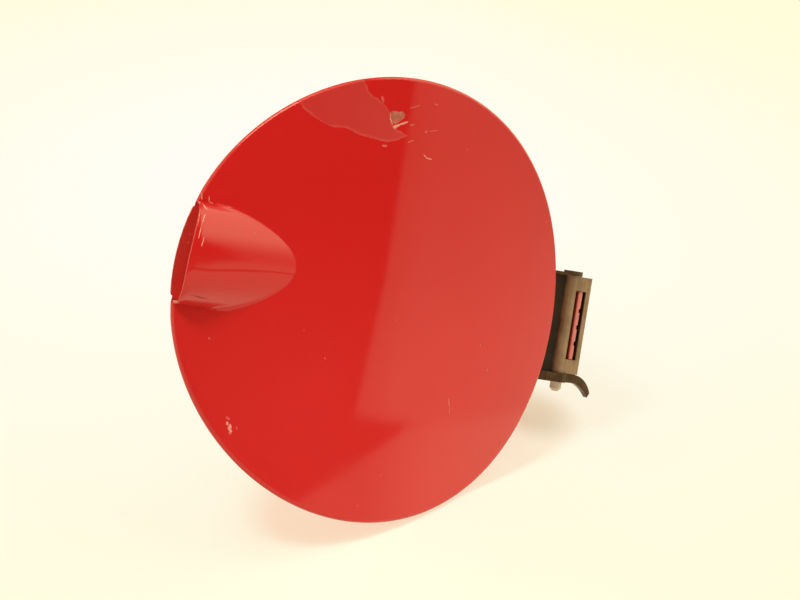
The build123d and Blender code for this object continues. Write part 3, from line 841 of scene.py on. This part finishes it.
def buildFloor():
    g = ground
    normal = np.array(g["normal"])
    resting = posedPoints(0.0)
    foot = resting[np.argmin(resting @ normal)]
    level = foot @ normal - g["clearance"]
    for degrees in np.linspace(0, swing["range_deg"][1], g["tries"]):
        points = posedPoints(degrees)
        room = points @ normal - level + floorSag(points, foot)
        print("door at", round(degrees), "degrees clears the floor by", round(room.min() / mm, 2), "mm")
    middle = doorMiddle + g["normal"] * (level - g["normal"].dot(doorMiddle))
    turn = np.array(g["normal"].to_track_quat("Z", "Y").to_matrix())
    steps = np.linspace(-1, 1, g["cells"] + 1)
    steps = np.sign(steps) * np.abs(steps) ** g["crowding"] * g["half"]
    across, along = np.meshgrid(steps, steps)
    flat = np.stack([across.ravel(), along.ravel(), np.zeros(across.size)], axis=1) @ turn.T + np.array(middle)
    points = flat - normal * floorSag(flat, foot)[:, None]
    mesh = bpy.data.meshes.new("paleFloor")
    mesh.from_pydata(points, [], closedGrid(len(steps), len(steps), False))
    mesh.shade_smooth()
    piece = addObject("paleFloor", mesh)
    made, tree, shader, place = newMaterial("paleFloor")
    shader.inputs["Base Color"].default_value = g["color"]
    shader.inputs["Roughness"].default_value = g["roughness"]
    shader.inputs["Specular IOR Level"].default_value = 0.0
    upright = addNode(tree, "ShaderNodeCombineXYZ", {0: normal[0], 1: normal[1], 2: normal[2]}).outputs[0]
    tree.links.new(upright, shader.inputs["Normal"])  # evenly lit, sloping or not
    # what the viewer sees: a pale sheet that glows, with painted light making it whiter near a point behind the
    # door, less the light that the door keeps off it
    b = backdrop
    far = vectorNode(tree, "DISTANCE", place, doorMiddle + Vector(b["middle"]) * mm)
    far = addNode(tree, "ShaderNodeMapRange", {0: far, 1: b["reach"][0], 2: b["reach"][1]}).outputs[0]
    pale = mixColor(tree, far, b["near"], b["far"])
    away, awayHinge = (vectorNode(tree, "DISTANCE", place, doorMiddle + Vector(g[key]) * mm)
                       for key in ("foot", "hingeFoot"))
    nearFrom, nearTo, beyond = g["nearFade"]
    share = product(tree, ramp(tree, away, nearFrom, nearTo, 1.0, beyond), ramp(tree, away, *g["farFade"], 1.0, 0.0))
    kept = vectorNode(tree, "SCALE", g["shade"], share)
    kept = mixColor(tree, ramp(tree, awayHinge, *g["hingeFade"], 1.0, 0.0), kept, g["hingeShade"] + (1,))
    glow = addNode(tree, "ShaderNodeEmission", {"Color": vectorNode(tree, "SUBTRACT", pale, kept)}).outputs[0]
    lit = vectorNode(tree, "DIVIDE", kept, g["level"])
    shaded = addNode(tree, "ShaderNodeBsdfDiffuse", {"Color": lit, "Normal": upright}).outputs[0]
    both = addNode(tree, "ShaderNodeAddShader", {0: glow, 1: shaded}).outputs[0]
    viewed = tree.nodes.new("ShaderNodeLightPath").outputs["Is Camera Ray"]
    seen = mixShader(tree, viewed, shader.outputs[0], both)
    clear = addNode(tree, "ShaderNodeBsdfTransparent").outputs[0]
    behind = tree.nodes.new("ShaderNodeNewGeometry").outputs["Backfacing"]
    shown = mixShader(tree, behind, seen, clear)
    tree.links.new(shown, tree.nodes["Material Output"].inputs["Surface"])
    mesh.materials.append(made)
    piece.visible_glossy = False
    return piece


# light tent: white walls and table round the door, open and dark towards the viewer
tent = {
    # angles in degrees: sides to the right of where the door faces, heights above the door's middle
    "wallFrom": 27.1,
    "wallLean": 0.38,  # its edge runs inwards below the door's middle
    "wallSoft": 1.0,
    "wallGrow": (9.0, 0.74),  # degrees over which it comes to full strength, and its share at the edge
    "wallFoot": -6.7,
    "footSoft": 0.25,
    "tableCorner": (38.0, -6.85),
    "tableSlopes": (0.162, 0.0435),
    "ceilingFrom": (4.5, 29.0),
    "ceilingLean": 4.0,
    "leanReach": -4.0,
    "ceilingTo": (68.0, 82.0),
    "ceilingSides": (10.0, 19.0, 90.0, 112.0),
    "leftWall": (52.0, 74.0),
    "opening": (0.03, 0.20),
    "openingRise": (2.0, -7.0),
    "wall": (0.82, 1.28),
    "wallRise": (6.0, -6.0),
    "wallTop": (8.0, 22.0),  # above this it is half as bright, and so it is past the door's plane
    "wallFar": (75.0, 100.0),
    "table": (0.95, 1.65),
    "tableSides": (26.0, 48.0),
    "ceiling": 2.5,
    "roof": 0.3,
    "roofFrom": (30.0, 50.0),
    "leftSide": 1.2,
    "rightSide": 2.8,
    "card": 6.0,  # a bright card that only shows as a gloss
    "cardSides": (-118.0, -96.0, -22.0, 2.0),
    "cardRise": (38.0, 46.0, 72.0, 80.0),
    "rightWall": (55.0, 75.0),
    "rightRise": (9.0, 20.0),
    "tint": (1.0, 0.92, 0.63, 1),
}


def buildTent():
    t = tent
    world = bpy.data.worlds.new("lightTent")
    scene.world = world
    world.use_nodes = True
    tree = world.node_tree
    tree.nodes.clear()

    def between(value, span):
        return product(tree, ramp(tree, value, span[0], span[1]), ramp(tree, value, span[3], span[2]))

    way = tree.nodes.new("ShaderNodeTexCoord").outputs["Generated"]
    part = addNode(tree, "ShaderNodeSeparateXYZ", {0: way}).outputs
    toDegrees = 180 / math.pi
    facing = mathNode(tree, "MULTIPLY", part["Y"], -1.0)
    side = mathNode(tree, "MULTIPLY", mathNode(tree, "ARCTAN2", part["X"], facing), toDegrees)
    rise = mathNode(tree, "MULTIPLY", mathNode(tree, "ARCSINE", part["Z"]), toDegrees)
    soft = t["footSoft"]
    bent = mathNode(tree, "MINIMUM", mathNode(tree, "ADD", rise, 1.0), 0.0)
    bent = mathNode(tree, "MULTIPLY", bent, t["wallLean"])
    fromEdge = mathNode(tree, "SUBTRACT", mathNode(tree, "SUBTRACT", side, bent), t["wallFrom"])
    wall = product(tree, ramp(tree, fromEdge, -t["wallSoft"], t["wallSoft"]),
                   ramp(tree, rise, t["wallFoot"] - soft, t["wallFoot"] + soft))
    growOver, growFrom = t["wallGrow"]
    wallLevel = product(tree, ramp(tree, fromEdge, 0.0, growOver, growFrom, 1.0),
                        ramp(tree, rise, *t["wallRise"], *t["wall"]),
                        ramp(tree, rise, *t["wallTop"], 1.0, 0.5), ramp(tree, side, *t["wallFar"], 1.0, 0.5))
    run = mathNode(tree, "SUBTRACT", side, t["tableCorner"][0])
    steep, shallow = (mathNode(tree, "MULTIPLY", run, slope) for slope in t["tableSlopes"])
    line = mathNode(tree, "ADD", mathNode(tree, "MINIMUM", steep, shallow), t["tableCorner"][1])
    table = ramp(tree, mathNode(tree, "SUBTRACT", line, rise), -soft, soft)
    tableLevel = ramp(tree, side, *t["tableSides"], *t["table"])
    leant = mathNode(tree, "MAXIMUM", mathNode(tree, "MINIMUM", fromEdge, 0.0), t["leanReach"])
    leant = mathNode(tree, "MULTIPLY", leant, t["ceilingLean"])
    ceiling = product(tree, between(side, t["ceilingSides"]),
                      ramp(tree, mathNode(tree, "ADD", rise, leant), *t["ceilingFrom"]),
                      ramp(tree, rise, *t["ceilingTo"], 1.0, 0.0))
    roof = ramp(tree, rise, *t["roofFrom"])
    leftSide = ramp(tree, mathNode(tree, "MULTIPLY", side, -1.0), *t["leftWall"])
    rightSide = product(tree, ramp(tree, side, *t["rightWall"]), ramp(tree, rise, *t["rightRise"]))
    level = ramp(tree, rise, *t["openingRise"], *t["opening"])
    layers = ((wall, wallLevel), (leftSide, t["leftSide"]), (rightSide, t["rightSide"]), (roof, t["roof"]),
              (ceiling, t["ceiling"]), (table, tableLevel))
    for mask, value in layers:
        low = mathNode(tree, "MULTIPLY", mathNode(tree, "SUBTRACT", 1.0, mask), level)
        level = mathNode(tree, "MULTIPLY_ADD", mask, value, low)
    path = tree.nodes.new("ShaderNodeLightPath").outputs
    card = product(tree, between(side, t["cardSides"]), between(rise, t["cardRise"]), path["Is Glossy Ray"])
    level = mathNode(tree, "MULTIPLY_ADD", card, t["card"], level)
    lit = addNode(tree, "ShaderNodeBackground", {"Color": t["tint"], "Strength": level}).outputs[0]
    seen = addNode(tree, "ShaderNodeBackground", {"Color": backdrop["far"], "Strength": 1.0}).outputs[0]
    addNode(tree, "ShaderNodeOutputWorld", {"Surface": mixShader(tree, path["Is Camera Ray"], lit, seen)})


# lamps and camera, placed in mm from the door's middle
lamps = {
    "color": (1.0, 0.96, 0.88),
    "size": 0.14,
    "keyLamp": ((-504, -203, 448), 2.0),  # place and watts
    "lowLamp": ((0, -210, -95), 0.135),
}
camera = {
    "from": (-255.09, -429.27, 16.78),
    "yaw": 30.81,
    "pitch": -1.77,
    "roll": 8.89,
    "lens": 63.0,
    "sensor": 36.0,
}


def buildLamps():
    for name in ("keyLamp", "lowLamp"):
        place, watts = lamps[name]
        data = bpy.data.lights.new(name, "AREA")
        data.shape = "RECTANGLE"
        data.size = data.size_y = lamps["size"]
        data.energy = watts
        data.color = lamps["color"]
        piece = addObject(name, data)
        piece.location = doorMiddle + Vector(place) * mm
        back = (piece.location - doorMiddle).normalized()
        across = (Vector((1, 0, 0)) - back * back.x).normalized()  # one side runs from left to right
        piece.rotation_euler = Matrix((across, back.cross(across), back)).transposed().to_euler()
        piece.visible_camera = False
        piece.visible_glossy = False


def buildCamera():
    c = camera
    data = bpy.data.cameras.new("mainCamera")
    data.lens = c["lens"]
    data.sensor_width = c["sensor"]
    data.clip_start = 0.01
    piece = addObject("mainCamera", data)
    yaw, pitch, roll = (math.radians(c[key]) for key in ("yaw", "pitch", "roll"))
    forward = Vector((math.sin(yaw) * math.cos(pitch), math.cos(yaw) * math.cos(pitch), math.sin(pitch)))
    turn = forward.to_track_quat("-Z", "Y").to_matrix() @ Matrix.Rotation(roll, 3, "Z")
    piece.matrix_world = Matrix.Translation(doorMiddle + Vector(c["from"]) * mm) @ turn.to_4x4()
    scene.camera = piece


buildFloor()
buildTent()
buildLamps()
buildCamera()
print("stage, light and camera set")
